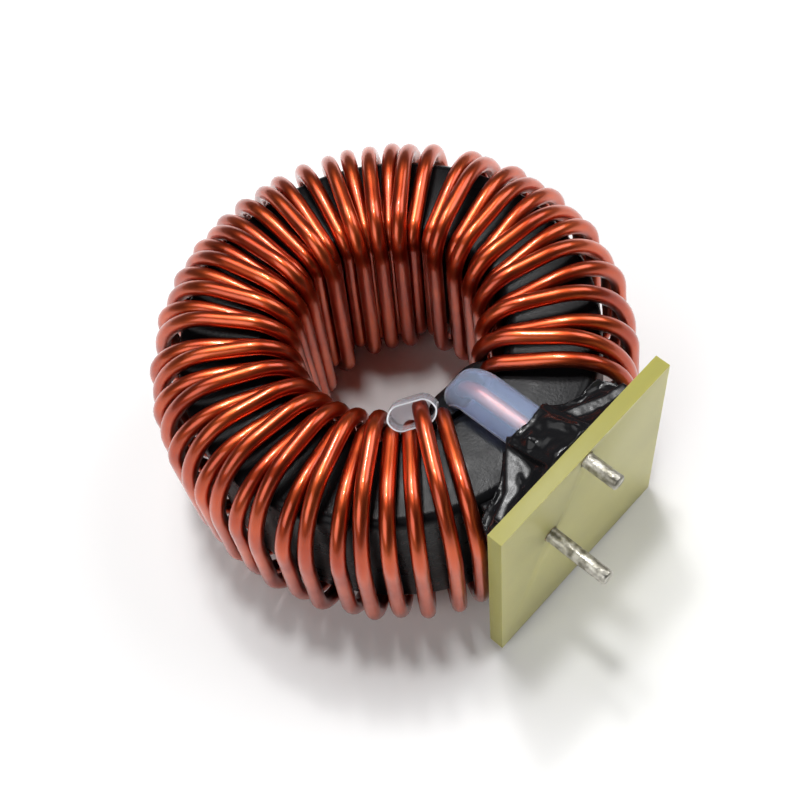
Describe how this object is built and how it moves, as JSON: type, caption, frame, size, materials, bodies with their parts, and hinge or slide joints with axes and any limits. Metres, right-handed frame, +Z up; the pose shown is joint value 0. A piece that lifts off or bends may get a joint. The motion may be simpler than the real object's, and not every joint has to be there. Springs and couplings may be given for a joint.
{
  "type": "toroidal inductor",
  "caption": "Toroidal inductor: 49 turns of thick copper wire on a coated ring core, glued upright to a small base plate with two wire pins.",
  "frame": {"origin": "on the coil's axis at the plane the coil rests on", "axes": "+Z up along the coil's axis, -Y towards the base plate's outer face, +X to the right seen from the base plate's side"},
  "size_m": [0.052, 0.0596, 0.0281],
  "materials": {
    "core_coating": "black epoxy coating, slightly grainy satin",
    "enamel": "clear orange-brown enamel over copper, glossy",
    "laminate": "pale yellow-green glass laminate, satin",
    "tinned_wire": "rough bright tin over copper",
    "adhesive": "set black adhesive, glossy",
    "sleeve": "clear bluish tube, slightly cloudy"
  },
  "bodies": {
    "root": {"core": "core_coating", "winding": "enamel", "base_plate": "laminate", "lead_end_upper": "tinned_wire", "lead_end_lower": "tinned_wire", "adhesive": "adhesive", "sleeve_upper": "sleeve", "sleeve_lower": "sleeve"}
  },
  "joints": []
}
